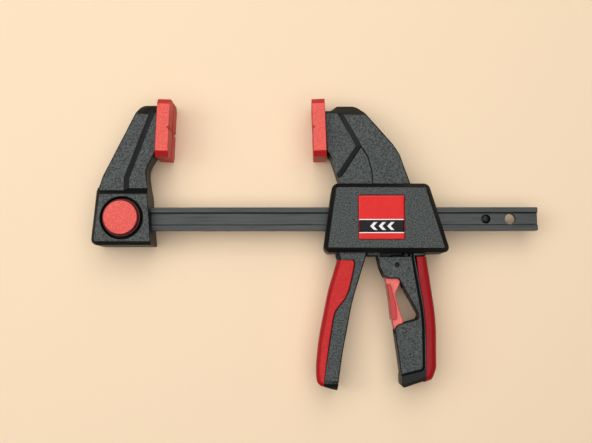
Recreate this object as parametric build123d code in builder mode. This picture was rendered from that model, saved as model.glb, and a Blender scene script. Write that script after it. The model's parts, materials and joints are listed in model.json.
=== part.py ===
from build123d import *
import os
from math import cos, radians, sin, tan

# Quick release bar clamp. One jaw is locked near the end of a grooved steel rail, the other
# is carried on the rail by a pistol-like body that steps along it at each squeeze of a lever.
#
# While it is modelled, X runs along the rail from the fixed pad's clamping face towards the
# rail's free end, Y runs from the handles to the jaws with 0 on the rail's centre line, and
# Z is the clamp's thickness with 0 on its mid-plane. The last section lays the finished
# clamp on its side: z = 0 is the surface it rests on, x and y are centred.

# ---------------------------------------------------------------- driving dimensions, mm
OPENING = 120.0          # between the pads, as stored
MAX_OPENING = 157.0      # between the pads, moving body against the stop rivet
THROAT = 90.5            # rail's upper edge to the upper end of the pads
RAIL_W = 19.5            # rail section, across Y
RAIL_T = 9.5             # rail section, across Z
RAIL_GROOVE_W = 10.0     # groove in both faces of the rail, at half its depth
RAIL_GROOVE_D = 2.15
HANG_HOLE = 9.0          # diameter, near the free end
LOCK_HOLE = 8.4          # diameter, under the fixed jaw's button
RIVET_HEAD = 7.8
PAD_H = 49.0             # height along the jaw
PAD_T = 11.0             # thickness along the rail
CLAMP_T = 38.0           # overall thickness: pads and housing covers
PAD_BEVEL = 4.4
V_GROOVE = 3.4           # width of the crossed grooves in a pad's face
TOE_IN = 2.0             # degrees that each pad leans towards the other
BOX_T = 32.0             # fixed jaw's box that sits on the rail
ARM_T = 25.0             # both jaw arms
ARM_LOW_T = 21.0         # their recessed panels
RIB_SLOPE = 65.0         # degrees off square of the slope between an arm's rib and its panel
ARM_TOP = 9.0            # bevel across the top of the arms
CORE_T = 18.0            # moving body between the lever's cheeks, and the grip's panels
GRIP_T = 26.0            # grip and lever
COVER_BEVEL = 3.4
COVER_WALL = 2.6
BUTTON_D = RAIL_W + 11.9  # its foot ring, wide enough to reach over the yoke's legs
BUTTON_RING = 0.9        # that ring's width round the raised face
BUTTON_WELL = 1.6        # gap round the ring
BUTTON_PROUD = 5.5       # button's face above the box
BUTTON_TRAVEL = 5.0
LEVER_SWING = 18.0       # degrees
TRIGGER_SWING = 12.0     # degrees
BRAKE_TILT = 4.5         # degrees off square at which the brake plate bites
PLATE_T = 3.0            # drive and brake plates
PLATE_GAP = 0.25         # round the rail in their holes
FIT = 0.1                # gap round a seated piece
PRESS = 0.02             # round a pin that is pressed in
TURN = 0.05              # round a pin that a lever turns on
RUN = 0.08               # round the rail in its guides
SLIDE = 0.25             # gap round the rail in moulded channels
AIR = 0.5                # gap beside moving pieces
EDGE = 1.2               # rounding of moulded outer edges

# ---------------------------------------------------------------- places worked out from them
RAIL_TOP = RAIL_W / 2
PAD_Y = RAIL_TOP + THROAT - PAD_H / 2
WEB = RAIL_T / 2 - RAIL_GROOVE_D
PAD_HALF = CLAMP_T / 2
BOX_HALF = BOX_T / 2
ARM_HALF = ARM_T / 2
ARM_LOW = ARM_LOW_T / 2
CORE = CORE_T / 2
GRIP = GRIP_T / 2
PAD_LOW = PAD_Y - PAD_H / 2
ARM_Y = RAIL_TOP + THROAT - 3.8        # top of the moving arm, just under its pad's end
FIXED_TOP = ARM_Y + 1.0                # top of the fixed arm
LOCK_X = -39.0                         # button, lock pin and rail hole
RAIL_LEFT = LOCK_X - 18
EXIT_X = 104.9                         # moving body's right edge at the rail, from its own pad
STOP_X = MAX_OPENING + EXIT_X + RIVET_HEAD / 2 + SLIDE
HANG_X = STOP_X + 20.6
RAIL_END = HANG_X + 22.6

JAW = Plane(origin=(OPENING, 0, 0))    # moving body's own origin: under its pad's face
LEVER_PIVOT = (36.0, RAIL_TOP + 8.75)  # on JAW, as are the places below
DRIVE_PIN = (38.5, -RAIL_TOP - 6.25)
TRIGGER_PIVOT = (70.3, -38.8)
BRAKE_PIVOT = (82.0, RAIL_TOP + 4.75)
PIVOT_R = 3.0
DRIVE_PIN_R = 2.5
TRIGGER_PIN_R = 1.1
COVER_SCREWS = [(16.6, -21.4), (22.4, RAIL_TOP + 10.85), (91.0, RAIL_TOP + 11.05), (104.0, -21.8)]
BODY_SCREWS = [(24.0, 78.0), (61.0, 48.0), (83.4, -56.0), (80.5, -119.0)]
SCREW_R = 1.5

COVER_TOP = RAIL_TOP + 18.65
COVER_LOW = -28.9
COVER_OUTLINE = [(16.5, COVER_TOP), (96.4, COVER_TOP), (113.6, COVER_LOW), (8.5, COVER_LOW)]
COVER_RADII = [5.5, 6.0, 4.0, 5.0]
COVER_GAP = 0.3                        # under the covers' lower edge


def rounded(points, radii, mode=Mode.ADD):
    """Add to the open sketch the face inside straight runs joined by one arc per corner."""
    with BuildLine(mode=Mode.PRIVATE) as line:
        FilletPolyline(*points, radius=radii, close=True)
    make_face(line.edges(), mode=mode)


def span(left, right, low, high):
    """Add to the open sketch the rectangle between two places across and two up."""
    with Locations(((left + right) / 2, (low + high) / 2)):
        Rectangle(right - left, high - low)


def facing_x(x, base=Plane.XY):
    """Plane square to the rail: its own x is Y and its own y is Z."""
    origin = base.from_local_coords((x, 0, 0))
    return Plane(origin=origin, x_dir=(0, 1, 0), z_dir=(1, 0, 0))


def rail_section(gap=0.0):
    """Add the rail's section to the open sketch: a bar with a sloped groove in both faces."""
    Rectangle(RAIL_W + 2 * gap, RAIL_T + 2 * gap)
    slope = 0.4
    outer = RAIL_GROOVE_W / 2 + slope - gap
    inner = RAIL_GROOVE_W / 2 - slope - gap
    for side in (1, -1):
        floor = side * (WEB + gap)
        mouth = side * (RAIL_T / 2 + gap)
        corners = [(-outer, mouth), (-inner, floor), (inner, floor), (outer, mouth)]
        with BuildLine(mode=Mode.PRIVATE) as groove:
            Polyline(*corners, close=True)
        make_face(groove.edges(), mode=Mode.SUBTRACT)


def coil(start, end, diameter, wire, turns):
    """Compression spring between two points on a line along X or Z, ends squared off."""
    direction = Vector(*end) - Vector(*start)
    length = direction.length - wire
    lift = direction.normalized() * (wire / 2)
    radius = (diameter - wire) / 2
    with BuildPart() as spring:
        with BuildLine() as path:
            Helix(pitch=length / turns, height=length, radius=radius, center=Vector(*start) + lift,
                  direction=direction)
        with BuildSketch(Plane(origin=path.line @ 0, z_dir=path.line % 0)):
            RegularPolygon(radius=wire / 2, side_count=6)
        sweep(path=path.line, is_frenet=True)
    return spring.part


def top_wedges(top, half, size):
    """Add to an open sketch facing X the two corners that a bevel of that size takes off."""
    for side in (1, -1):
        far = side * (half + 1)
        with BuildLine(mode=Mode.PRIVATE) as corner:
            Polyline((top + 1, far), (top - size - 1, far),
                     (top + 1, side * (half - size - 1)), close=True)
        make_face(corner.edges())


def pad_back(y):
    """X of the fixed pad's sloping back at a height, with the seat's gap: its arm ends there."""
    return (y - PAD_Y) * tan(radians(TOE_IN)) - (PAD_T + FIT) / cos(radians(TOE_IN))


# ================================================================ rail and fixed jaw
# Rail: rolled steel bar, grooved on both faces, with the lock hole at the jaw end and the
# stop rivet's hole and a hanging hole at the free end.
with BuildPart() as rail:
    with BuildSketch(facing_x(RAIL_LEFT)):
        rail_section()
    extrude(amount=RAIL_END - RAIL_LEFT)
    ends = rail.faces().filter_by(Axis.X)
    chamfer(ends.sort_by(Axis.X)[-1].edges(), length=0.6)
    with Locations((LOCK_X, 0, 0)):
        Hole(radius=LOCK_HOLE / 2)
    with Locations((STOP_X, 0, 0)):
        Hole(radius=2.5)
    with Locations((HANG_X, 0, 0)):
        Hole(radius=HANG_HOLE / 2)

# Stop rivet: a domed head in each groove keeps the moving body from running off the rail.
with BuildPart() as stop_rivet:
    crown = RAIL_T / 2 - 0.35
    with BuildSketch(Plane.XY.offset(-crown)):
        with Locations((STOP_X, 0)):
            Circle(RIVET_HEAD / 2)
    extrude(amount=2 * crown)
    chamfer(stop_rivet.edges().filter_by(GeomType.CIRCLE), length=1.3, length2=1.0)
    with BuildSketch(Plane.XY.offset(-WEB)):
        with Locations((STOP_X, 0)):
            Circle(RIVET_HEAD)
            Circle(2.48, mode=Mode.SUBTRACT)
    extrude(amount=2 * WEB, mode=Mode.SUBTRACT)

# Pads: soft plastic caps pushed over a tongue on each arm, with crossed V grooves for round
# stock. Both lean in, so the jaws come parallel as the arms flex under load.
TONGUE_H = 26.0
TONGUE_W = 15.0
TONGUE_L = 6.0
TONGUE_ROOT = 4.0                      # its run inside the arm
toe = Vector(cos(radians(TOE_IN)), -sin(radians(TOE_IN)), 0)
FIXED_FACE = Plane(origin=(0, PAD_Y, 0), x_dir=toe, z_dir=(0, 0, 1))
MOVING_FACE = Plane(origin=(OPENING, PAD_Y, 0), x_dir=(-toe.X, toe.Y, 0), z_dir=(0, 0, -1))


def behind(face, depth):
    """Plane that lies a depth behind a pad's back, looking out of the arm."""
    return Plane(origin=face.origin - face.x_dir * (PAD_T + depth), x_dir=face.y_dir, z_dir=face.x_dir)


def pad_on(face):
    """Pad whose clamping face lies on a plane: the plane's x points away from the jaw."""
    notch = V_GROOVE / 2
    half = PAD_H / 2
    with BuildPart() as pad:
        with BuildSketch(face.offset(-PAD_HALF)):
            with BuildLine():
                Polyline((-PAD_T, -half), (0, -half), (0, -notch), (-notch, 0), (0, notch),
                         (0, half), (-PAD_T, half), close=True)
            make_face()
        extrude(amount=CLAMP_T)
        # bevels across the upper and lower ends, front and back
        with BuildSketch(behind(face, 1)):
            for end in (1, -1):
                for side in (1, -1):
                    far = (end * (half + 1), side * (PAD_HALF + 1))
                    with BuildLine(mode=Mode.PRIVATE) as corner:
                        Polyline(far, (far[0] - end * (PAD_BEVEL + 2), far[1]),
                                 (far[0], far[1] - side * (PAD_BEVEL + 2)), close=True)
                    make_face(corner.edges())
        extrude(amount=PAD_T + 2, mode=Mode.SUBTRACT)
        # second V groove, along the jaw, crosses the first at the middle of the face
        along = Plane(origin=face.origin - face.y_dir * (half + 1), x_dir=face.x_dir, z_dir=face.y_dir)
        with BuildSketch(along):
            with BuildLine():
                Polyline((1, -notch - 1), (-notch, 0), (1, notch + 1), close=True)
            make_face()
        extrude(amount=PAD_H + 2, mode=Mode.SUBTRACT)
        # pocket for the tongue on the arm
        with BuildSketch(behind(face, 1)):
            RectangleRounded(TONGUE_H + 2 * FIT, TONGUE_W + 2 * FIT, 2)
        extrude(amount=1 + TONGUE_L + FIT, mode=Mode.SUBTRACT)
    return pad.part


fixed_pad = pad_on(FIXED_FACE)
moving_pad = pad_on(MOVING_FACE)

# Fixed jaw: one glass-filled nylon moulding. The box takes the rail in a blind channel and
# the lock button in a round well. The arm has a raised outer rib and a sunk inner panel on
# both faces.
WELL_R = BUTTON_D / 2 + BUTTON_WELL
WELL_FLOOR = RAIL_T / 2 + 2.25
BACK_WALL = -WELL_FLOOR                # between the rail channel and the yoke's pocket
LEG_Y = RAIL_TOP + 2.6                 # yoke's legs pass the rail on both sides
LEG_T = 2.0
LEG_W = 9.0
BOX_SLOPE = 6.0
with BuildPart() as jaw_box:
    with BuildSketch(Plane.XY.offset(-BOX_HALF)):
        rounded([(-60.2, 26), (-64.6, -22.6), (-14.3, -22.6), (-18.4, 26)], [0, 5, 0, 0])
    extrude(amount=BOX_T)
    with BuildSketch(facing_x(-70)):
        top_wedges(26, BOX_HALF, BOX_SLOPE)
    extrude(amount=80, mode=Mode.SUBTRACT)
    for end in (0, -1):
        face = jaw_box.faces().filter_by(Axis.Z).sort_by(Axis.Z)[end]
        rim = face.edges().sort_by(Axis.X)[:-1].sort_by(Axis.Y)[:-1]
        chamfer(rim, length=2.6)

with BuildPart() as fixed_jaw:
    with BuildSketch(Plane.XY.offset(-ARM_HALF)):
        rounded([(-60.6, 16), (-60.6, 21), (-56.4, 35), (-25.6, FIXED_TOP),
                 (pad_back(FIXED_TOP), FIXED_TOP), (pad_back(PAD_LOW + 6), PAD_LOW + 6),
                 (-20.3, PAD_LOW - 9.5), (-17.2, 12), (-30, -2)],
                [0, 20, 20, 7, 1.5, 3, 16, 0, 0])
    extrude(amount=ARM_T)
    with BuildSketch(facing_x(-70)):
        top_wedges(FIXED_TOP, ARM_HALF, ARM_TOP)
    extrude(amount=80, mode=Mode.SUBTRACT)
    for end in (0, -1):
        face = fixed_jaw.faces().filter_by(Axis.Z).sort_by(Axis.Z)[end]
        fillet(face.edges().filter_by_position(Axis.Y, 20, FIXED_TOP - ARM_TOP - 1), radius=EDGE)
    for side in (1, -1):
        with BuildSketch(Plane.XY.offset(side * ARM_HALF)):
            rounded([(-14.0, FIXED_TOP + 3), (-38.4, 34), (-38.4, 10), (0, 10), (0, FIXED_TOP + 3)],
                    [0, 8, 0, 0, 0])
        extrude(amount=side * (ARM_LOW - ARM_HALF), taper=RIB_SLOPE, mode=Mode.SUBTRACT)
    add(jaw_box.part)
    with BuildSketch(behind(FIXED_FACE, TONGUE_ROOT)):
        RectangleRounded(TONGUE_H, TONGUE_W, 2)
    extrude(amount=TONGUE_ROOT + TONGUE_L)
    # rail channel, blind behind the rail's end
    with BuildSketch(facing_x(RAIL_LEFT - SLIDE)):
        rail_section(FIT)
    extrude(amount=80, mode=Mode.SUBTRACT)
    # button well, and behind the rail the pocket of the yoke with its two leg slots
    with BuildSketch(Plane.XY.offset(WELL_FLOOR)):
        with Locations((LOCK_X, 0)):
            Circle(WELL_R)
    extrude(amount=BOX_HALF, mode=Mode.SUBTRACT)
    with BuildSketch(Plane.XY.offset(BACK_WALL)):
        with Locations((LOCK_X, 0)):
            RectangleRounded(LEG_W + 3, 2 * (LEG_Y + LEG_T) + 2, 2)
    extrude(amount=-BOX_HALF, mode=Mode.SUBTRACT)
    with BuildSketch(Plane.XY.offset(-BOX_HALF)):
        with Locations((LOCK_X, LEG_Y), (LOCK_X, -LEG_Y)):
            Rectangle(LEG_W + 2 * SLIDE, LEG_T + 2 * SLIDE)
    extrude(amount=BOX_T, mode=Mode.SUBTRACT)
    with BuildSketch(Plane.XY.offset(BACK_WALL - 1)):
        with Locations((LOCK_X, 0)):
            Circle(LOCK_HOLE / 2)
    extrude(amount=6, mode=Mode.SUBTRACT)

# Lock button: pressed into the box it carries a steel yoke round the rail, whose pin then
# leaves the hole in the rail, so the jaw can be drawn off and turned round.
BUTTON_LOW = WELL_FLOOR + BUTTON_TRAVEL + 0.2
BUTTON_TOP = BOX_HALF + BUTTON_PROUD
RING_TOP = BOX_HALF + 1.2
SPRING_SEAT = BUTTON_TOP - 2.5
BRIDGE_TOP = BACK_WALL - 0.2
BRIDGE_T = 2.0
LEG_END = BUTTON_TOP - 4.0
with BuildPart() as push_button:
    with BuildSketch(Plane.XY.offset(BUTTON_LOW)):
        with Locations((LOCK_X, 0)):
            Circle(BUTTON_D / 2)
    extrude(amount=RING_TOP - BUTTON_LOW)
    with BuildSketch(Plane.XY.offset(RING_TOP)):
        with Locations((LOCK_X, 0)):
            Circle(BUTTON_D / 2 - BUTTON_RING)
    extrude(amount=BUTTON_TOP - RING_TOP)
    chamfer(push_button.faces().sort_by(Axis.Z)[-1].edges(), length=0.8)
    with BuildSketch(Plane.XY.offset(BUTTON_LOW)):
        with Locations((LOCK_X, 0)):
            Circle(6.8)
    extrude(amount=SPRING_SEAT - BUTTON_LOW, mode=Mode.SUBTRACT)
    with BuildSketch(Plane.XY.offset(BUTTON_LOW)):
        with Locations((LOCK_X, LEG_Y), (LOCK_X, -LEG_Y)):
            Rectangle(LEG_W + 2 * FIT, LEG_T + 2 * FIT)
    extrude(amount=LEG_END + FIT - BUTTON_LOW, mode=Mode.SUBTRACT)

with BuildPart() as lock_yoke:
    with BuildSketch(facing_x(LOCK_X - LEG_W / 2)):
        tall = LEG_END - (BRIDGE_TOP - BRIDGE_T)
        with Locations((0, (LEG_END + BRIDGE_TOP - BRIDGE_T) / 2)):
            Rectangle(2 * LEG_Y + LEG_T, tall)
        with Locations((0, (LEG_END + 1 + BRIDGE_TOP) / 2)):
            Rectangle(2 * LEG_Y - LEG_T, LEG_END + 1 - BRIDGE_TOP, mode=Mode.SUBTRACT)
    extrude(amount=LEG_W)
    outer = lock_yoke.edges().filter_by(Axis.X).group_by(Axis.Z)[0]
    fillet(outer, radius=1.6)
    with Locations((LOCK_X, 0, BRIDGE_TOP)):
        Hole(radius=2.5)

with BuildPart() as lock_pin:
    with BuildSketch(Plane.XY.offset(BRIDGE_TOP)):
        with Locations((LOCK_X, 0)):
            Circle(LOCK_HOLE / 2 - 0.2)
    extrude(amount=WEB - 1.0 - BRIDGE_TOP)
    chamfer(lock_pin.faces().sort_by(Axis.Z)[-1].edges(), length=0.8)
    with BuildSketch(Plane.XY.offset(BRIDGE_TOP)):
        with Locations((LOCK_X, 0)):
            Circle(2.48)
    extrude(amount=-(BRIDGE_T + 0.4))

button_spring = coil((LOCK_X, 0, WELL_FLOOR + FIT), (LOCK_X, 0, SPRING_SEAT - FIT), 12.0, 1.1, 4)

# ================================================================ moving body
# The body is moulded in two halves that meet on the mid-plane. Each half carries half of the
# arm, the flat core that the lever's cheeks pass on both sides, and the rear grip. Their
# common shape is made once, above the mid-plane, and mirrored for the half at the back.
CHEEK_IN = CORE + AIR                  # lever's cheeks, between core and cover
CHEEK_OUT = GRIP
BAY = 7.0                              # half width of the bays round the rail
TRIGGER_BAY = 5.8
SLOT_LOW = -32.0
PIN_SINK = 1.2
BAY_LOW = -RAIL_TOP - 11.75
BAY_HIGH = RAIL_TOP + 3.75
DRIVE_X = DRIVE_PIN[0] + DRIVE_PIN_R + 0.2
DRIVE_BAY = (33.5, 70.0)
BRAKE_BAY = (75.0, 91.2)
GUIDE_SPANS = [(17.0, 27.0), (92.5, 100.3)]
GUIDE_Y = RAIL_TOP + 2.85
FOOT = [(72.6, -140.3), (92.4, -133.6)]       # lower edge of the rear grip
foot_run = (Vector(*FOOT[1]) - Vector(*FOOT[0])).normalized()
GRIP_FOOT = Plane(origin=JAW.from_local_coords((*FOOT[0], 0)), x_dir=Vector(0, 0, 1).cross(foot_run),
                  z_dir=foot_run)
GRIP_OUTLINE = [(52.6, -26), (55.6, -40.8), (59.9, -50.3), (71.2, -50.3), (87.6, -79.8),
                (86.6, -83.6), (69.6, -88.6), (67.6, -92.6), (72.3, -128.0), *FOOT,
                (93.0, -82.0), (84.4, -31.9), (93.4, -31.9), (92.6, -26)]
GRIP_RADII = [0, 20, 5, 2.5, 2.5, 1.5, 4, 3, 30, 2.5, 1, 250, 0.5, 0.8, 0]
PANEL_OUTLINE = [(40, -20), (82.2, -20), (84.4, -39), (91.6, -82), (91.6, -125.3), (68, -131.4),
                 (40, -131.4)]
PANEL_RADII = [0, 0, 60, 150, 4, 0, 0]
RIB = [(84, -38), (88.6, -38), (96.6, -84), (96.6, -124), (88, -127), (88, -80)]
RIB_RADII = [0, 2, 150, 3, 0, 0]
RIB_HALF = 8.4
with BuildPart() as half:
    with BuildSketch(JAW):
        rounded([(-pad_back(ARM_Y - 5), ARM_Y - 5), (15.5, ARM_Y - 5), (21, ARM_Y), (36.5, ARM_Y),
                 (44, ARM_Y - 7), (67.5, ARM_Y - 34), (73, ARM_Y - 42.5), (83.5, 24), (83.5, 10), (22, 10),
                 (22, 31), (15.4, PAD_LOW), (-pad_back(PAD_LOW + 6), PAD_LOW + 6)],
                [0.8, 3, 3, 10, 20, 14, 14, 0, 0, 0, 12, 14, 1])
    extrude(amount=ARM_HALF)
    rim = half.faces().sort_by(Axis.Z)[-1].edges().filter_by_position(Axis.X, OPENING + 20, OPENING + 90)
    fillet(rim.filter_by_position(Axis.Y, 30, ARM_Y + 2), radius=EDGE)
    with BuildSketch(facing_x(0, base=JAW)):
        top_wedges(ARM_Y, ARM_HALF, ARM_TOP)
    extrude(amount=100, mode=Mode.SUBTRACT)
    with BuildSketch(JAW.offset(ARM_HALF)):
        rounded([(40.7, ARM_Y - 35), (46.5, ARM_Y - 43.7), (50.2, ARM_Y - 56.5), (51.5, 15), (10, 15),
                 (10, 30), (24, 36)], [0, 12, 14, 0, 0, 0, 0])
    extrude(amount=-0.8, taper=55, mode=Mode.SUBTRACT)
    with BuildSketch(JAW.offset(ARM_HALF)):
        rounded([(0, ARM_Y + 3), (19.8, ARM_Y + 3), (41.4, ARM_Y - 35.5), (24.4, 35.5), (19, 22), (0, 22)],
                [0, 0, 0, 6, 0, 0])
    extrude(amount=ARM_LOW - ARM_HALF, taper=RIB_SLOPE, mode=Mode.SUBTRACT)
    # clear the space under the cover, then lay the core and the grip
    with BuildSketch(JAW.offset(CORE)):
        span(-5, 115, 0, COVER_TOP + FIT)
    extrude(amount=10, mode=Mode.SUBTRACT)
    with BuildSketch(JAW):
        rounded(COVER_OUTLINE, COVER_RADII)
        span(45, 57, COVER_LOW - 2.6, COVER_LOW + 5)
    extrude(amount=CORE)
    with BuildSketch(JAW):
        rounded(GRIP_OUTLINE, GRIP_RADII)
    extrude(amount=GRIP)
    with BuildSketch(JAW.offset(CORE)):
        span(-5, 115, COVER_LOW - COVER_GAP, 0)
    extrude(amount=10, mode=Mode.SUBTRACT)
    with BuildSketch(GRIP_FOOT):
        with BuildLine():
            Polyline((-1, GRIP + 1), (-1, GRIP - 4), (4, GRIP + 1), close=True)
        make_face()
    extrude(amount=40, both=True, mode=Mode.SUBTRACT)
    with BuildSketch(JAW.offset(GRIP)):
        rounded(PANEL_OUTLINE, PANEL_RADII)
    extrude(amount=CORE - GRIP, taper=20, mode=Mode.SUBTRACT)
    # slot under the cover, open to the trigger's bay, and the sunk end of the trigger's pin
    with BuildSketch(JAW.offset(CORE)):
        span(56.2, 81.2, SLOT_LOW, COVER_LOW - COVER_GAP)
    extrude(amount=TRIGGER_BAY - CORE - 0.2, mode=Mode.SUBTRACT)
    with BuildSketch(JAW.offset(CORE)):
        with Locations(TRIGGER_PIVOT):
            Circle(TRIGGER_PIN_R + 0.6)
    extrude(amount=-PIN_SINK, mode=Mode.SUBTRACT)
    # rib that the soft back of the grip is moulded round
    with BuildSketch(JAW):
        rounded(RIB, RIB_RADII)
    extrude(amount=RIB_HALF)
    # rail channel and the seats of its two guides
    with BuildSketch(facing_x(-5, base=JAW)):
        rail_section(SLIDE)
    extrude(amount=130, mode=Mode.SUBTRACT)
    with BuildSketch(JAW):
        for left, right in GUIDE_SPANS:
            span(left, right, -GUIDE_Y, GUIDE_Y)
        # bays of the drive plates and of the brake plate, with the brake plate's seat on top
        for left, right in (DRIVE_BAY, BRAKE_BAY):
            span(left, right, BAY_LOW, BAY_HIGH)
        seat = PLATE_T / 2 + 0.4
        span(BRAKE_PIVOT[0] - seat, BRAKE_PIVOT[0] + seat, BAY_HIGH - 1, BRAKE_PIVOT[1] + PLATE_T / 2 + 0.3)
    extrude(amount=BAY, mode=Mode.SUBTRACT)
    # bay of the trigger and of the brake plate's tail, and the pocket of the trigger's toe
    with BuildSketch(JAW):
        rounded([(53, -51.5), (53, -45.5), (60.6, -37.5), (66.0, -30.6), (74.4, -30.6), (74.4, -18),
                 (88.5, -18), (82.6, -51.5), (77.6, -51.5), (76.4, -58), (71.5, -58), (71.5, -51.5)],
                [0, 0, 4, 3, 0, 0, 0, 3, 0, 0, 0, 0])
        rounded([(62, -96.5), (88.6, -96.5), (88.6, -82), (62, -82)], [0, 3, 3, 0])
    extrude(amount=TRIGGER_BAY, mode=Mode.SUBTRACT)
    # curved slot of the drive pin
    with BuildSketch(JAW):
        for turn in (0, LEVER_SWING / 2, LEVER_SWING):
            swung = (Vector(*DRIVE_PIN) - Vector(*LEVER_PIVOT)).rotate(Axis.Z, turn) + Vector(*LEVER_PIVOT)
            with Locations((swung.X, swung.Y)):
                Circle(DRIVE_PIN_R + AIR)
        make_hull()
    extrude(amount=CORE + 1, mode=Mode.SUBTRACT)
    # pin and screw holes
    with BuildSketch(JAW):
        with Locations(LEVER_PIVOT):
            Circle(PIVOT_R + PRESS)
        with Locations(TRIGGER_PIVOT):
            Circle(TRIGGER_PIN_R + PRESS)
        with Locations(*COVER_SCREWS):
            Circle(SCREW_R + 0.1)
    extrude(amount=CORE + 1, mode=Mode.SUBTRACT)
    with BuildSketch(behind(MOVING_FACE, TONGUE_ROOT)):
        RectangleRounded(TONGUE_H, TONGUE_W, 2)
    tongue = extrude(amount=TONGUE_ROOT + TONGUE_L, mode=Mode.PRIVATE)
    add(split(tongue, bisect_by=Plane.XY, keep=Keep.TOP, mode=Mode.PRIVATE))

SCREW_HEAD_R = 2.8
SCREW_SINK = 2.4                       # head's seat below the surface
BLIND = 7.0                            # depth of the screws in the front half
seats = [ARM_LOW - SCREW_SINK, ARM_HALF - SCREW_SINK, CORE - SCREW_SINK, CORE - SCREW_SINK]
with BuildPart() as front_body:
    add(half.part)
    with BuildSketch(JAW):
        with Locations(*BODY_SCREWS):
            Circle(SCREW_R + 0.1)
    extrude(amount=BLIND, mode=Mode.SUBTRACT)

with BuildPart() as rear_body:
    add(mirror(half.part, about=Plane.XY, mode=Mode.PRIVATE))
    with BuildSketch(JAW):
        with Locations(*BODY_SCREWS):
            Circle(SCREW_R + 0.1)
    extrude(amount=-GRIP, mode=Mode.SUBTRACT)
    for place, seat in zip(BODY_SCREWS, seats):
        with BuildSketch(JAW.offset(-seat)):
            with Locations(place):
                Circle(SCREW_HEAD_R + 0.3)
        extrude(amount=-10, mode=Mode.SUBTRACT)


def screw(place, seat, tip):
    """Pan-head screw driven from the back: its head bears on z = -seat, its point is at tip."""
    with BuildPart() as piece:
        with BuildSketch(JAW.offset(-seat)):
            with Locations(place):
                Circle(SCREW_R)
        extrude(amount=seat + tip)
        chamfer(piece.faces().sort_by(Axis.Z)[-1].edges(), length=0.6)
        with BuildSketch(JAW.offset(-seat)):
            with Locations(place):
                Circle(SCREW_HEAD_R)
        extrude(amount=-2.0)
        chamfer(piece.faces().sort_by(Axis.Z)[0].edges(), length=0.6)
        with BuildSketch(JAW.offset(-seat - 2.0)):
            with Locations(place):
                Rectangle(2.9, 0.6)
                Rectangle(0.6, 2.9)
        extrude(amount=1.2, mode=Mode.SUBTRACT)
    return piece.part


body_screws = [screw(place, seat, BLIND - 0.5) for place, seat in zip(BODY_SCREWS, seats)]

# Covers: a shell screwed on over each face of the core, open below where the lever comes out.
COVER_ROOF = 13.8
SHELL_OPEN = (17.0, 81.0)
PIVOT_END = 15.0
LABEL_W = 38.0
LABEL_H = 36.6
LABEL_X = 56.7
LABEL_T = 1.1
with BuildPart() as shell:
    with BuildSketch(JAW.offset(CORE)):
        rounded(COVER_OUTLINE, COVER_RADII)
    extrude(amount=PAD_HALF - CORE)
    chamfer(shell.faces().sort_by(Axis.Z)[-1].edges(), length=COVER_BEVEL)
    with BuildSketch(JAW.offset(CORE)):
        rounded(COVER_OUTLINE, COVER_RADII)
        offset(amount=-COVER_WALL, mode=Mode.REPLACE)
        span(*SHELL_OPEN, COVER_LOW - 1, COVER_LOW + 7)
    extrude(amount=COVER_ROOF - CORE, mode=Mode.SUBTRACT)
    with BuildSketch(JAW.offset(CORE)):
        with Locations(*COVER_SCREWS):
            Circle(3.6)
    extrude(amount=COVER_ROOF - CORE + 1)
    with BuildSketch(JAW.offset(CORE)):
        with Locations(*COVER_SCREWS):
            Circle(SCREW_R + 0.1)
        with Locations(LEVER_PIVOT):
            Circle(PIVOT_R + PRESS)
    extrude(amount=PIVOT_END + FIT - CORE, mode=Mode.SUBTRACT)

with BuildPart() as front_cover:
    add(shell.part)
    with BuildSketch(JAW.offset(PAD_HALF)):
        with Locations((LABEL_X, 0)):
            RectangleRounded(LABEL_W, LABEL_H, 1.0)
    extrude(amount=-(LABEL_T + FIT), mode=Mode.SUBTRACT)

with BuildPart() as rear_cover:
    add(mirror(shell.part, about=Plane.XY, mode=Mode.PRIVATE))
    with BuildSketch(JAW.offset(-CORE)):
        with Locations(*COVER_SCREWS):
            Circle(SCREW_R + 0.1)
    extrude(amount=-10, mode=Mode.SUBTRACT)
    with BuildSketch(JAW.offset(SCREW_SINK - PAD_HALF)):
        with Locations(*COVER_SCREWS):
            Circle(SCREW_HEAD_R + 0.3)
    extrude(amount=-SCREW_SINK, mode=Mode.SUBTRACT)

with BuildPart() as label_plate:
    with BuildSketch(JAW.offset(PAD_HALF - LABEL_T - FIT)):
        with Locations((LABEL_X, 0)):
            RectangleRounded(LABEL_W - 2 * FIT, LABEL_H - 2 * FIT, 1.0)
    extrude(amount=LABEL_T)
    chamfer(label_plate.faces().sort_by(Axis.Z)[-1].edges(), length=0.35)

cover_screws = [screw(place, PAD_HALF - SCREW_SINK, PIVOT_END - 0.4) for place in COVER_SCREWS]


# Rail guides: hard plastic blocks let into both halves, bored to the rail's own section.
def guide(left, right):
    """Guide block between two places along the rail."""
    with BuildPart() as block:
        with BuildSketch(facing_x(left + FIT, base=JAW)):
            Rectangle(2 * (GUIDE_Y - FIT), 2 * (BAY - FIT))
        extrude(amount=right - left - 2 * FIT)
        with BuildSketch(facing_x(left, base=JAW)):
            rail_section(RUN)
        extrude(amount=right - left, mode=Mode.SUBTRACT)
    return block.part


inner_guide = guide(*GUIDE_SPANS[0])
outer_guide = guide(*GUIDE_SPANS[1])

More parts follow.
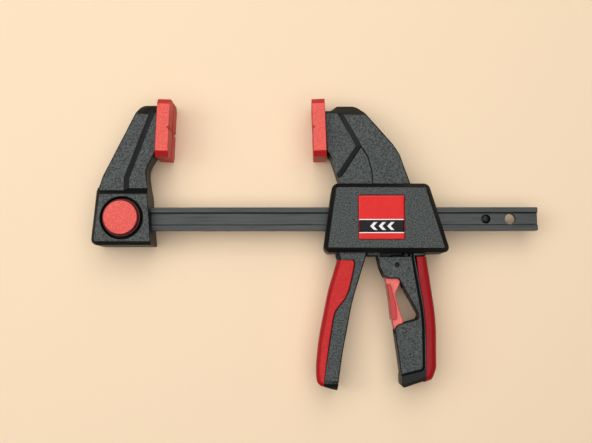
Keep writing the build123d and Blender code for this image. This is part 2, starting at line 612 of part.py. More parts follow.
# ================================================================ pump lever
# The lever is a channel whose two cheeks pass the core and hang on the pivot pin. A soft grip
# is moulded round its back.
LEVER_HUB = 6.5
LEVER_OUTLINE = [(LEVER_PIVOT[0] - LEVER_HUB, LEVER_PIVOT[1]), (LEVER_PIVOT[0] + LEVER_HUB, LEVER_PIVOT[1]),
                 (45.0, -29.0), (32.8, -68.0), (24.2, -112.0), (20.0, -142.2), (3.5, -137.5), (2.4, -126.0),
                 (4.6, -102.0), (12.7, -61.4), (20.8, -34.5), (19.7, -31.5), (19.7, -29.3)]
LEVER_RADII = [0, 0, 10, 200, 200, 0, 6, 60, 200, 120, 1, 0, 0]
INSERT = [(-10, -35.1), (33.3, -35.1), (34.6, -37.2), (33.2, -45.5), (29.8, -59.8), (26.5, -67.2),
          (21.5, -73.0), (18.2, -77.9), (16.5, -84.4), (13.2, -104.8), (9.8, -129.0), (7.6, -145.0),
          (-10, -145)]
INSERT_RADII = [0, 1, 1, 40, 12, 10, 14, 8, 20, 60, 60, 0, 0]
INSERT_SKIN = 2.0                      # thickness of the soft grip over the cheeks
INSERT_BACK = 2.5                      # and over the back
CHANNEL = [(0, 40), (0, -34), (27.0, -34), (20.5, -70), (60, -72), (60, 40)]
with BuildPart() as lever_blank:
    with BuildSketch(JAW):
        rounded(LEVER_OUTLINE, LEVER_RADII)
        with Locations(LEVER_PIVOT):
            Circle(LEVER_HUB)
    extrude(amount=GRIP, both=True)
    for end in (0, -1):
        rim = lever_blank.faces().filter_by(Axis.Z).sort_by(Axis.Z)[end].edges()
        back = rim.filter_by_position(Axis.X, OPENING, OPENING + 18)
        fillet(back.filter_by_position(Axis.Y, -142, -36), radius=4.0)
    with BuildSketch(facing_x(-5, base=JAW)):
        rounded([(45, -GRIP), (45, GRIP), (-142.2, GRIP), (-142.2, -GRIP)], [0, 0, 8, 8])
    extrude(amount=70, mode=Mode.INTERSECT)

with BuildPart() as pump_lever:
    add(lever_blank.part)
    with BuildSketch(JAW):
        rounded(INSERT, INSERT_RADII)
        offset(amount=FIT, mode=Mode.REPLACE)
    extrude(amount=GRIP + 1, both=True, mode=Mode.SUBTRACT)
    with BuildSketch(JAW):
        rounded(LEVER_OUTLINE, LEVER_RADII)
        offset(amount=-INSERT_BACK, mode=Mode.REPLACE)
    extrude(amount=GRIP - INSERT_SKIN, both=True)
    with BuildSketch(JAW):
        rounded(CHANNEL, [0, 0, 2, 4, 0, 0])
    extrude(amount=CHEEK_IN, both=True, mode=Mode.SUBTRACT)
    with BuildSketch(JAW):
        with Locations(LEVER_PIVOT):
            Circle(PIVOT_R + TURN)
        with Locations(DRIVE_PIN):
            Circle(DRIVE_PIN_R + PRESS)
    extrude(amount=GRIP, both=True, mode=Mode.SUBTRACT)

with BuildPart() as lever_grip:
    add(lever_blank.part)
    with BuildSketch(JAW):
        rounded(INSERT, INSERT_RADII)
    extrude(amount=GRIP, both=True, mode=Mode.INTERSECT)
    with BuildSketch(JAW):
        rounded(LEVER_OUTLINE, LEVER_RADII)
        offset(amount=FIT - INSERT_BACK, mode=Mode.REPLACE)
    extrude(amount=GRIP - INSERT_SKIN + FIT, both=True, mode=Mode.SUBTRACT)
    with BuildSketch(JAW):
        rounded(CHANNEL, [0, 0, 2, 4, 0, 0])
    extrude(amount=CHEEK_IN, both=True, mode=Mode.SUBTRACT)

with BuildPart() as drive_pin:
    with BuildSketch(JAW):
        with Locations(DRIVE_PIN):
            Circle(DRIVE_PIN_R)
    extrude(amount=CHEEK_OUT - 0.2, both=True)
    chamfer(drive_pin.edges().filter_by(GeomType.CIRCLE), length=0.4)

with BuildPart() as lever_pivot_pin:
    with BuildSketch(JAW):
        with Locations(LEVER_PIVOT):
            Circle(PIVOT_R)
    extrude(amount=PIVOT_END, both=True)
    chamfer(lever_pivot_pin.edges().filter_by(GeomType.CIRCLE), length=0.5)

# ================================================================ drive and brake
# The drive pin pushes two steel plates, which tip, bite the rail and carry the body along.
PLATE_HOLE = (RAIL_W + 2 * PLATE_GAP, RAIL_T + 2 * PLATE_GAP)
PLATE_W = 2 * BAY - 0.4
drive_plates = []
for step in range(2):
    with BuildPart() as plate:
        with BuildSketch(facing_x(DRIVE_X + step * (PLATE_T + 0.2), base=JAW)):
            with Locations(((BAY_LOW + BAY_HIGH) / 2 + 0.4, 0)):
                RectangleRounded(BAY_HIGH - BAY_LOW - 2.2, PLATE_W, 1.5)
            Rectangle(*PLATE_HOLE, mode=Mode.SUBTRACT)
        extrude(amount=PLATE_T)
    drive_plates.append(plate.part)

SPRING_Y = -RAIL_TOP - 5.25
drive_back = DRIVE_X + 2 * PLATE_T + 0.2
drive_spring = coil((OPENING + drive_back + FIT, SPRING_Y, 0), (OPENING + DRIVE_BAY[1] - FIT, SPRING_Y, 0),
                    8.5, 1.1, 5)

# The brake plate hangs on its upper end and stands askew, so it bites against being drawn
# back. The trigger's nose pushes its tail square to the rail.
lean = radians(BRAKE_TILT)
TAIL_FROM = BRAKE_PIVOT[1] - BAY_LOW - 0.7
TAIL_END = BRAKE_PIVOT[1] + 49.1
TAIL_W = 8.0
BRAKE = Plane(origin=JAW.from_local_coords((*BRAKE_PIVOT, 0)), x_dir=(sin(lean), cos(lean), 0),
              z_dir=(cos(lean), -sin(lean), 0))
with BuildPart() as brake_plate:
    with BuildSketch(BRAKE.offset(-PLATE_T / 2)):
        span(-TAIL_FROM, 0, -PLATE_W / 2, PLATE_W / 2)
        span(-TAIL_END, 0, -TAIL_W / 2, TAIL_W / 2)
        with Locations((-BRAKE_PIVOT[1] / cos(lean), 0)):
            Rectangle(*PLATE_HOLE, mode=Mode.SUBTRACT)
    extrude(amount=PLATE_T)
    tail = brake_plate.faces().sort_by(Axis.Y)[0].edges().filter_by(GeomType.LINE)
    fillet(tail.filter_by(Axis.Z), radius=1.2)
    with BuildSketch(JAW):
        with Locations(BRAKE_PIVOT):
            Circle(PLATE_T / 2)
    extrude(amount=PLATE_W / 2, both=True)

brake_y = -RAIL_TOP - 6.25
brake_face = BRAKE_PIVOT[0] - (BRAKE_PIVOT[1] - brake_y) * tan(lean) + PLATE_T / 2 / cos(lean) + 0.15
brake_spring = coil((OPENING + brake_face, brake_y, 0), (OPENING + BRAKE_BAY[1] - FIT, brake_y, 0),
                    8.0, 1.0, 3)

# ================================================================ trigger
TRIGGER = [(66.0, -34.5), (74.5, -34.5), (75.2, -44.0), (75.4, -47.5), (73.6, -50.0), (72.9, -53.9),
           (68.6, -63.1), (75.0, -85.4), (75.5, -90.0), (70.0, -94.5), (67.4, -91.2), (65.5, -82.9),
           (64.0, -68.0), (61.9, -55.2), (60.6, -50.3), (58.8, -45.5), (62.0, -38.0)]
TRIGGER_RADII = [3, 3, 2, 0.8, 2, 4, 3, 2, 2, 1, 3, 20, 30, 6, 3, 2, 3]
FINGER = [(61.7, -55.0), (64.3, -54.0), (69.1, -72.2), (69.4, -82.9), (68.1, -84.5), (65.2, -84.5),
          (65.2, -82.9), (63.7, -68.0)]
with BuildPart() as release_trigger:
    with BuildSketch(JAW):
        rounded(TRIGGER, TRIGGER_RADII)
    extrude(amount=TRIGGER_BAY - 0.8, both=True)
    with BuildSketch(JAW):
        rounded(FINGER, [0.6, 1.4, 20, 1.2, 0.8, 0.4, 8, 30])
    extrude(amount=CORE, both=True)
    for end in (0, -1):
        chamfer(release_trigger.faces().filter_by(Axis.Z).sort_by(Axis.Z)[end].edges(), length=0.35)
    with BuildSketch(JAW):
        with Locations(TRIGGER_PIVOT):
            Circle(TRIGGER_PIN_R + TURN)
    extrude(amount=CORE, both=True, mode=Mode.SUBTRACT)

with BuildPart() as trigger_pin:
    with BuildSketch(JAW):
        with Locations(TRIGGER_PIVOT):
            Circle(TRIGGER_PIN_R)
    extrude(amount=CORE - PIN_SINK + 0.4, both=True)
    chamfer(trigger_pin.edges().filter_by(GeomType.CIRCLE), length=0.3)

# ================================================================ soft back of the rear grip
REAR_OUTLINE = [(86, -32.2), (94.7, -32.2), (102.0, -84.0), (101.6, -124.0), (98.2, -133.0), (92.9, -135.0),
                (90.5, -135), (90.5, -80)]
with BuildPart() as rear_grip:
    with BuildSketch(JAW):
        rounded(REAR_OUTLINE, [0, 0, 200, 12, 4, 0, 0, 0])
    extrude(amount=GRIP - 1.0, both=True)
    for end in (0, -1):
        rim = rear_grip.faces().filter_by(Axis.Z).sort_by(Axis.Z)[end].edges()
        fillet(rim.filter_by_position(Axis.X, OPENING + 95, OPENING + 110), radius=5.5)
    with BuildSketch(JAW):
        rounded(GRIP_OUTLINE, GRIP_RADII)
        offset(amount=FIT, mode=Mode.REPLACE)
    extrude(amount=GRIP, both=True, mode=Mode.SUBTRACT)
    with BuildSketch(JAW):
        rounded(RIB, RIB_RADII)
        offset(amount=FIT, mode=Mode.REPLACE)
    extrude(amount=RIB_HALF + FIT, both=True, mode=Mode.SUBTRACT)

# ================================================================ placing and export
pieces = {
    "rail": rail.part, "stop_rivet": stop_rivet.part, "fixed_jaw": fixed_jaw.part, "fixed_pad": fixed_pad,
    "push_button": push_button.part, "lock_yoke": lock_yoke.part, "lock_pin": lock_pin.part,
    "button_spring": button_spring,
    "front_body": front_body.part, "rear_body": rear_body.part, "body_screws": Compound(body_screws),
    "front_cover": front_cover.part, "rear_cover": rear_cover.part, "cover_screws": Compound(cover_screws),
    "label_plate": label_plate.part, "moving_pad": moving_pad, "inner_guide": inner_guide,
    "outer_guide": outer_guide, "rear_grip": rear_grip.part, "lever_pivot_pin": lever_pivot_pin.part,
    "trigger_pin": trigger_pin.part,
    "pump_lever": pump_lever.part, "lever_grip": lever_grip.part, "drive_pin": drive_pin.part,
    "drive_plates": Compound(drive_plates), "drive_spring": drive_spring,
    "brake_plate": brake_plate.part, "brake_spring": brake_spring, "release_trigger": release_trigger.part,
}
whole = Compound(list(pieces.values())).bounding_box()
resting = Location((-whole.center().X, -whole.center().Y, -whole.min.Z))
os.makedirs("parts", exist_ok=True)
for name, piece in pieces.items():
    placed = resting * piece
    placed.label = name
    export_step(placed, f"parts/{name}.step")
    print(name, round(placed.volume), len(placed.solids()))
print("placed by", resting.position)
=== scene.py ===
# %% [markdown]
# # A quick release bar clamp, dressed for a picture
# The exact clamp comes ready from CAD: a fixed jaw, a grooved rail and a moving jaw with its
# pump lever. This lesson gives it moulded edges, rubber, steel and print. Everything is in
# metres and lies where the CAD model lies, so nothing has to be fitted.

# %% Load the CAD frame
import json
from math import pi, radians, tan
import bmesh
import bpy
import numpy as np
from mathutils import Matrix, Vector

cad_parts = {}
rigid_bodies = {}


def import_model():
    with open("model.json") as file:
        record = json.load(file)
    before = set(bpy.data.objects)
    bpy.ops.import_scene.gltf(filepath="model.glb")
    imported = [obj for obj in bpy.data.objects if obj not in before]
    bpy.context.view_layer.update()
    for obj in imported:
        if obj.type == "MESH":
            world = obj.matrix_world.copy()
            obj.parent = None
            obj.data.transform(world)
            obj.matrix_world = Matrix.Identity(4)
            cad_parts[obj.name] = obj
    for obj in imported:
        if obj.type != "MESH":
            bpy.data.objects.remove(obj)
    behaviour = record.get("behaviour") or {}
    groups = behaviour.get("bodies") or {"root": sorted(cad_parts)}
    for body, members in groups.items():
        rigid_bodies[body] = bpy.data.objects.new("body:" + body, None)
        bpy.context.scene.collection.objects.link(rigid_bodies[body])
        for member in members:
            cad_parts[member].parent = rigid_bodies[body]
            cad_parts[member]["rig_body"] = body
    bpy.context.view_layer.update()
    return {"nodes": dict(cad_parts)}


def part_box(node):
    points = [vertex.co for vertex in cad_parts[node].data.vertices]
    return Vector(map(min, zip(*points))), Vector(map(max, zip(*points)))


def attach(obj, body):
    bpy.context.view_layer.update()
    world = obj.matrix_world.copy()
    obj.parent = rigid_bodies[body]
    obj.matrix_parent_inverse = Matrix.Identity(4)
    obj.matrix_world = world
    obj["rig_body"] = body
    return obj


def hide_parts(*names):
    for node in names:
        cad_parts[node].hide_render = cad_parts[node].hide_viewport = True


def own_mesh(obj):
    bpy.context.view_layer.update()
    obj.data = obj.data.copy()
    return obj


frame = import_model()
MM = 0.001

# %% [markdown]
# ## Where things are
# The clamp's own drawing has its origin on the rail's centre line, under the fixed pad's
# face. The rail's box gives that point, and one function then turns drawing millimetres
# into metres of the scene. A node's box can be read in the same drawing millimetres.

# %% From drawing millimetres to scene metres
rail_low, rail_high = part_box("rail")
RAIL_LEFT = -57.0
ORIGIN = np.array([rail_low.x - RAIL_LEFT * MM, (rail_low.y + rail_high.y) / 2,
                   (rail_low.z + rail_high.z) / 2])


def at(x, y, z):
    """Drawing millimetres to scene metres: scaled, then moved by the drawing's origin."""
    return np.stack(np.broadcast_arrays(x, y, z), axis=-1) * MM + ORIGIN


def box_mm(node):
    """Lowest and highest corner of a node, in drawing millimetres."""
    return [(np.array(corner) - ORIGIN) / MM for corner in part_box(node)]


print("drawing origin in mm:", np.round(ORIGIN / MM, 2))

# %% [markdown]
# ## Colours and nodes
# A finish is a tree of nodes that ends in one Principled shader. Written by hand, each node
# takes three or four lines, so one small function adds a node with its settings and links.
# Colours are written as the hex values that a screen shows, and one function turns them to
# the linear values that light is added up in.

# %% Material helpers
def linear(code):
    """Hex colour to linear RGBA: v / 12.92 below 0.04045, else ((v + 0.055) / 1.055) to the 2.4."""
    v = np.array([int(code[i:i + 2], 16) for i in (1, 3, 5)]) / 255
    v = np.where(v < 0.04045, v / 12.92, ((v + 0.055) / 1.055) ** 2.4)
    return (*v, 1.0)


def add(tree, kind, links=None, **settings):
    """Add a node: settings are its properties, links its inputs' sources or fixed values."""
    node = tree.nodes.new(kind)
    for name, value in settings.items():
        setattr(node, name, value)
    for name, value in (links or {}).items():
        if isinstance(value, bpy.types.NodeSocket):
            tree.links.new(value, node.inputs[name])
        else:
            node.inputs[name].default_value = value
    return node


def finish_called(name, colour, roughness, **sockets):
    """Start a material: one Principled shader with its uniform values set on its own sockets."""
    material = bpy.data.materials.new(name)
    material.use_nodes = True
    tree = material.node_tree
    shader = tree.nodes["Principled BSDF"]
    shader.inputs["Base Color"].default_value = linear(colour)
    shader.inputs["Roughness"].default_value = roughness
    for socket, value in sockets.items():
        shader.inputs[socket.replace("_", " ")].default_value = value
    return material, tree, shader


print("screen grey #808080 is", round(linear("#808080")[0], 3), "of white in linear light")

# %% [markdown]
# ## Where a moulded part is rough, and where sheen and shade are painted
# A plastic part copies its steel tool. Where the tool parts straight off the face, the steel can be
# spark-eroded, and the part comes out with a fine pebble. Where a wall slides along the steel as
# the part is pushed out, a pebble would drag, so the steel is polished and the wall comes out
# smooth. The same split also carries painted light: faces get lighter colours, which are painted
# sheen, and walls and round rims get a darker one, which is painted shade. A part's own normal
# tells the two apart: its z is near 1 on a face and small on a wall. Floors of deep pockets and
# tops of ribs are formed by plain cores and are smooth too, and they get the walls' painted shade.
# So pebble and painted sheen are kept to a band of heights over the clamp's mid-plane. The toe of
# the rear grip is plain and painted in shade as well: it lies below a line that leans as the grip's
# foot does. The three tests are multiplied into one mask, 1 where there is pebble and painted
# sheen.

# %% The pebble's mask
WALL_Z, FACE_Z = 0.955, 0.995
ANY_HEIGHT, NO_SHADED_TOE = (0.0, 1000.0), -1000.0
TOE_LEAN = 0.256


def pebble_and_sheen_mask(tree, place, sheen_band_mm, shaded_toe_mm):
    """1 on faces whose height is in the band and y - TOE_LEAN x above the toe's line, else 0: 1
    gets pebble and painted sheen, 0 painted shade.
    """
    axes = add(tree, "ShaderNodeSeparateXYZ", {"Vector": place.outputs["Normal"]})
    upright = add(tree, "ShaderNodeMath", {0: axes.outputs["Z"]}, operation="ABSOLUTE")
    facing = add(tree, "ShaderNodeMapRange", {"Value": upright.outputs["Value"],
                                              "From Min": WALL_Z, "From Max": FACE_Z},
                 interpolation_type="SMOOTHSTEP")
    heights = add(tree, "ShaderNodeSeparateXYZ", {"Vector": place.outputs["Object"]})
    off_middle = add(tree, "ShaderNodeMath", {0: heights.outputs["Z"], 1: -ORIGIN[2]},
                     operation="ADD")
    outward = add(tree, "ShaderNodeMath", {0: off_middle.outputs["Value"]}, operation="ABSOLUTE")
    in_band = add(tree, "ShaderNodeMath",
                  {0: outward.outputs["Value"], 1: sum(sheen_band_mm) / 2 * MM,
                   2: (sheen_band_mm[1] - sheen_band_mm[0]) / 2 * MM}, operation="COMPARE")
    up_handle = add(tree, "ShaderNodeVectorMath",
                    {0: place.outputs["Object"], 1: (-TOE_LEAN, 1.0, 0.0)},
                    operation="DOT_PRODUCT")
    above_toe = add(tree, "ShaderNodeMath",
                    {0: up_handle.outputs["Value"],
                     1: shaded_toe_mm * MM + ORIGIN[1] - TOE_LEAN * ORIGIN[0]}, operation="GREATER_THAN")
    # Where the mask is 0 the finish paints shade: on walls, rims, pocket floors, rib tops and the
    # toe.
    outer = add(tree, "ShaderNodeMath",
                {0: facing.outputs["Result"], 1: in_band.outputs["Value"]}, operation="MULTIPLY")
    return add(tree, "ShaderNodeMath",
               {0: outer.outputs["Value"], 1: above_toe.outputs["Value"]},
               operation="MULTIPLY").outputs["Value"]


# %% [markdown]
# ## How a moulded part gets its look
# A fine noise is the pebble. It runs the faces between two colours and gives them their dents; the
# walls keep one colour and no dents. Where the faces' colours are lighter than the walls' one, the
# faces are painted sheen and the walls' colour is painted shade. A slow noise lets the gloss
# wander, as it does where the plastic filled its tool unevenly. Noise values crowd round one half,
# so only their middle is spread over the whole range. A Mix node has sockets for every kind of
# value under the same names, so the ones for colours are asked for by number.

# %% A moulded finish
PEBBLE_SPREAD, NOISE_SPREAD = (0.38, 0.62), (0.3, 0.7)
BLOTCH_MM = 12
MIX_A, MIX_B, MIXED = 6, 7, 2


def moulded(name, faces, wall_and_shade_colour, pebble_mm, dent_mm, rough, sheen_band_mm=ANY_HEIGHT, shaded_toe_mm=NO_SHADED_TOE,
            **sockets):
    """Faces with pebble in two colours, painted sheen; smooth sides, pockets and toes in a third
    colour, painted shade.
    """
    material, tree, shader = finish_called(name, wall_and_shade_colour, rough[0], **sockets)
    place = add(tree, "ShaderNodeTexCoord")
    pebble = add(tree, "ShaderNodeTexNoise", {"Vector": place.outputs["Object"],
                                              "Scale": 1000 / pebble_mm,
                                              "Detail": 3.0, "Roughness": 0.65})
    blotch = add(tree, "ShaderNodeTexNoise", {"Vector": place.outputs["Object"],
                                              "Scale": 1000 / BLOTCH_MM, "Detail": 2.0})
    tint = add(tree, "ShaderNodeValToRGB", {"Fac": pebble.outputs["Fac"]})
    for stop, spot, code in zip(tint.color_ramp.elements, PEBBLE_SPREAD, faces):
        stop.position = spot
        stop.color = linear(code)
    pebble_and_sheen = pebble_and_sheen_mask(tree, place, sheen_band_mm, shaded_toe_mm)
    # Faces take the ramp's lighter colours as painted sheen, and the rest takes the wall colour as
    # painted shade.
    colour = add(tree, "ShaderNodeMix", {"Factor": pebble_and_sheen, MIX_A: linear(wall_and_shade_colour),
                                         MIX_B: tint.outputs["Color"]}, data_type="RGBA")
    gloss = add(tree, "ShaderNodeMapRange",
                {"Value": blotch.outputs["Fac"], "From Min": NOISE_SPREAD[0],
                 "From Max": NOISE_SPREAD[1], "To Min": rough[0], "To Max": rough[1]})
    depth = add(tree, "ShaderNodeMath", {0: pebble_and_sheen, 1: pebble.outputs["Fac"]},
                operation="MULTIPLY")
    dents = add(tree, "ShaderNodeBump", {"Height": depth.outputs["Value"], "Strength": 1.0,
                                         "Distance": dent_mm * MM})
    tree.links.new(colour.outputs[MIXED], shader.inputs["Base Color"])
    tree.links.new(gloss.outputs["Result"], shader.inputs["Roughness"])
    tree.links.new(dents.outputs["Normal"], shader.inputs["Normal"])
    print(name, "pebble", pebble_mm, "mm")
    return material


# %% [markdown]
# ## Glass-filled nylon
# Jaws, body, covers and lever are black nylon with a third of glass fibre. Their faces are painted
# a dry, slightly grey pebble, which is painted sheen over the black. Their bevels and walls are
# painted a near-black satin, which is painted shade. Pocket floors nearer than 8.7 mm to the
# mid-plane and the rear grip's toe get the same painted shade. The real pebble is about 0.2 mm; it
# is drawn 1.15 mm wide so that it still shows when the whole clamp is in view.

# %% Nylon
# Painted sheen on the grey faces; painted shade on walls, pocket floors and the toe.
nylon = moulded("spark_eroded_black_nylon", ("#1F2120", "#555B58"), "#060606", 1.15, 0.12,
                (0.44, 0.54), sheen_band_mm=(8.7, 1000.0), shaded_toe_mm=-178.6, IOR=1.53,
                Specular_IOR_Level=0.25)

# %% [markdown]
# ## Red plastics
# Pads and button are a soft polypropylene, matt with a very fine pebble. Their faces are painted a
# milky coral, which is painted sheen, while their walls keep the full red. The button's wall and
# the ring at its foot stand in its own well and are painted a darker red still, as painted shade.
# The trigger is the same red in a harder, glossier nylon, with a smooth rib down its plate for the
# finger. Its plate is painted coral sheen, and the rib's top and the trigger's walls are painted a
# darker red, as painted shade. The real pebble is about 0.1 mm on all of them and is drawn at 1.4
# mm, and at 1 mm on the trigger.

# %% Pads, button and trigger
# Coral faces are painted sheen; the button's well and the trigger's rib top and walls are painted
# shade.
coral_painted_sheen = ("#D4423A", "#F05C4C")
pad_red = moulded("soft_red_polypropylene", coral_painted_sheen, "#BE1A17", 1.4, 0.03, (0.46, 0.56), IOR=1.49)
button_red = moulded("soft_red_button_polypropylene", coral_painted_sheen, "#5E0A0B", 1.4, 0.03, (0.46, 0.56),
                     sheen_band_mm=(18.0, 1000.0), IOR=1.49)
trigger_red = moulded("satin_red_nylon", ("#EA5A50", "#F67064"), "#BC1610", 1.0, 0.01,
                      (0.30, 0.38), sheen_band_mm=(0.0, 7.0), IOR=1.53)

# %% [markdown]
# ## Grip rubber
# The grips are thermoplastic rubber, moulded round the hard handles. Rubber has no sparkle: a
# broad, weak sheen over a deep red, with tiny pores. Their faces are painted a lighter red than
# their walls, with painted sheen on the faces and painted shade on the walls. The pores are about
# 0.1 mm and are drawn at 1.2 mm. The rear grip is the same rubber in a darker copy, which is
# painted shade for a grip whose back slopes away from the light.

# %% Grips
# Lighter faces are painted sheen and darker walls painted shade; the rear grip's darker copy is
# painted shade.
grip_red = moulded("deep_red_grip_rubber", ("#B81A1C", "#D02824"), "#A80A12", 1.2, 0.03,
                   (0.42, 0.52), IOR=1.5, Specular_IOR_Level=0.2)
rear_grip_painted_shade = moulded("grip_rubber_painted_shade", ("#8C0B15", "#A2111B"), "#9C0A12", 1.2, 0.03,
                   (0.42, 0.52), IOR=1.5, Specular_IOR_Level=0.2)

# %% [markdown]
# ## Steels
# Metal takes its colour from its reflections, so what tells steels apart is how their
# roughness runs. The rail is rolled and then blackened: long streaks along X. The plated
# parts are tumbled, so their marks run no way in particular. One finish makes both, with
# the noise squeezed along the rolling direction.

# %% A metal finish
def metal(name, tones, mark_mm, depth_mm, rough, run=(1, 1, 1)):
    """Metal whose colour, roughness and fine relief follow one noise, drawn out along a run."""
    material, tree, shader = finish_called(name, tones[0], rough[0], Metallic=1.0)
    place = add(tree, "ShaderNodeTexCoord")
    along = add(tree, "ShaderNodeMapping", {"Vector": place.outputs["Object"], "Scale": run})
    marks = add(tree, "ShaderNodeTexNoise", {"Vector": along.outputs["Vector"],
                                             "Scale": 1000 / mark_mm,
                                             "Detail": 4.0, "Roughness": 0.6})
    tint = add(tree, "ShaderNodeValToRGB", {"Fac": marks.outputs["Fac"]})
    for stop, spot, code in zip(tint.color_ramp.elements, NOISE_SPREAD, tones):
        stop.position = spot
        stop.color = linear(code)
    gloss = add(tree, "ShaderNodeMapRange",
                {"Value": marks.outputs["Fac"], "From Min": NOISE_SPREAD[0],
                 "From Max": NOISE_SPREAD[1], "To Min": rough[0], "To Max": rough[1]})
    relief = add(tree, "ShaderNodeBump", {"Height": marks.outputs["Fac"], "Strength": 1.0,
                                          "Distance": depth_mm * MM})
    tree.links.new(tint.outputs["Color"], shader.inputs["Base Color"])
    tree.links.new(gloss.outputs["Result"], shader.inputs["Roughness"])
    tree.links.new(relief.outputs["Normal"], shader.inputs["Normal"])
    print(name, "marks", mark_mm, "mm")
    return material


# %% [markdown]
# Rolling streaks are about 0.1 mm wide and are drawn at 1.2 mm, thirty times as long.
# Zinc is bright and cool, spring wire is drawn and oiled, and the rivet and the hardened
# plates that bite the rail are blackened steel. The marks on these are as fine as the
# streaks, and they are drawn at about 1 mm too.

# %% Rail, plated parts, wire and rivet
ALONG_X = (0.03, 1, 1)
rail_steel = metal("blackened_rolled_steel", ("#383A3A", "#535553"), 1.2, 0.012, (0.38, 0.52),
                   ALONG_X)
zinc = metal("bright_zinc_plating", ("#A9ACAC", "#C3C5C4"), 1.5, 0.006, (0.24, 0.4))
wire = metal("oiled_spring_wire", ("#77797B", "#939597"), 0.8, 0.006, (0.24, 0.4))
dark_steel = metal("blackened_rivet_steel", ("#1E2021", "#303334"), 1.0, 0.008, (0.28, 0.42))

# %% [markdown]
# ## Acetal and the label's gloss
# The guide blocks inside are natural acetal, a waxy off-white. The label is a polished
# plastic plate: smoother than anything round it, it takes a sharper highlight along its
# rolled edges, and a slow ripple of about 5 mm, as a thin moulded plate is never quite flat.
# Its inks are dry films, uneven in tone over a couple of millimetres. The flow marks on the
# acetal are finer than 0.1 mm and are drawn at 0.9 mm.

# %% Acetal, label and its inks
acetal = moulded("natural_acetal", ("#D2CEC2", "#DBD7CC"), "#D4D0C4", 0.9, 0.008, (0.32, 0.4),
                 IOR=1.48)
label_red = moulded("glossy_red_label_plastic", ("#DC1A15", "#E21F19"), "#E02A24", 5.0, 0.01,
                    (0.2, 0.26), IOR=1.45, Specular_IOR_Level=0.25)
ink_black = moulded("black_label_ink", ("#0B0B0B", "#121212"), "#0B0B0B", 2.0, 0.004,
                    (0.24, 0.32), IOR=1.5, Specular_IOR_Level=0.15)
ink_white = moulded("white_label_ink", ("#EDEAE6", "#F4F2EE"), "#EDEAE6", 2.0, 0.004,
                    (0.24, 0.32), IOR=1.5)

# %% [markdown]
# ## Dress the CAD nodes
# Every CAD solid arrives bare. Most of what is seen will be a softened copy, but each node
# gets its finish first, and a copy takes it along.

# %% Materials onto the nodes
dress = {
    nylon: ["fixed_jaw", "front_body", "rear_body", "front_cover", "rear_cover", "pump_lever"],
    pad_red: ["fixed_pad", "moving_pad"],
    button_red: ["push_button"],
    grip_red: ["lever_grip"],
    rear_grip_painted_shade: ["rear_grip"],
    trigger_red: ["release_trigger"],
    label_red: ["label_plate"],
    rail_steel: ["rail"],
    dark_steel: ["stop_rivet", "trigger_pin", "drive_plates", "brake_plate"],
    zinc: ["body_screws", "cover_screws", "lever_pivot_pin", "drive_pin", "lock_yoke", "lock_pin"],
    wire: ["button_spring", "drive_spring", "brake_spring"],
    acetal: ["inner_guide", "outer_guide"],
}
for material, names in dress.items():
    for name in names:
        mesh = frame["nodes"][name].data
        mesh.materials.clear()
        mesh.materials.append(material)
print(sum(len(names) for names in dress.values()), "nodes dressed")

# %% [markdown]
# ## Bodies
# A piece rides on the CAD body that carries it and takes the place of its node. One function says
# both.

# %% Put a piece on its body
def stands_for(piece, node):
    """The piece rides with the node's body and replaces the node."""
    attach(piece, frame["nodes"][node]["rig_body"])
    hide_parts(node)


# %% [markdown]
# ## Softened edges
# CAD edges are knife sharp, and no moulding is: where a face meets its walls, the steel tool is
# round by about a millimetre. Those slim bands look past the light above, and the finish paints
# them in the walls' darker colour, which is painted shade. Together, the two draw a dark outline
# round each part. A Bevel modifier stops at the narrowest corner of a part, so the rims are worked
# out here: each point on a rim gets its own width, less where a corner or a wall is small. A cap is
# a flat face that looks straight up or down, and its rim is where it meets walls. The first cell
# measures how much room a rim point has on its cap.

# %% Room on the cap
SHARP = radians(40)
SAME = 0.001 * MM
ASIDE = 0.01 * MM
END_SLACK, PARALLEL = 0.01, 1e-12


def along(loop):
    """Unit vector from a loop's corner to the next one."""
    return (loop.link_loop_next.vert.co - loop.vert.co).normalized()


def rounds(loop):
    """True if a rim edge is convex and sharp."""
    return loop.edge.is_convex and loop.edge.calc_face_angle(0.0) > SHARP


def way_across(point, heading, starts, sides):
    """Distance from a rim point along a heading to the rim on the far side, in the cap's plane."""
    near = np.abs(starts[:, 2] - point.z) < SAME
    x, y = (starts[near, :2] - np.array(point.xy)).T
    side_x, side_y = sides[near, :2].T
    cross = heading.x * side_y - heading.y * side_x
    cross[np.abs(cross) < PARALLEL] = np.inf
    share = (x * heading.y - y * heading.x) / cross
    distance = (x * side_y - y * side_x) / cross
    met = (share > -END_SLACK) & (share < 1 + END_SLACK) & (distance > ASIDE)
    return min(distance[met], default=np.inf)


def room_beside(loop, starts):
    """Distance from a rim edge to the nearest rim point that lies beside it, over its own cap."""
    way, start = along(loop), np.array(loop.vert.co)
    x, y, z = (starts - start).T
    ahead = x * way.x + y * way.y
    aside = (y * way.x - x * way.y) * np.sign(loop.face.normal.z)
    beside = ((np.abs(z) < SAME) & (ahead > 0) & (ahead < loop.edge.calc_length())
              & (aside > ASIDE))
    return float(min(aside[beside], default=np.inf))


# %% [markdown]
# A rim point moves into the cap along the middle of its corner, and down along the edge
# between its two walls. Its width is the least of four: the width asked for, a share of the
# room on the cap, a share of the wall's height, and what the two rim edges at a convex
# corner can spare. Where a rounded edge meets one that stays crisp, the point slides along
# the crisp edge.

# %% How a point on a rim moves
ROOM_SHARE, EDGE_SHARE = 0.42, 0.8
LEAST_SPREAD = 0.3
STRAIGHT = radians(1)


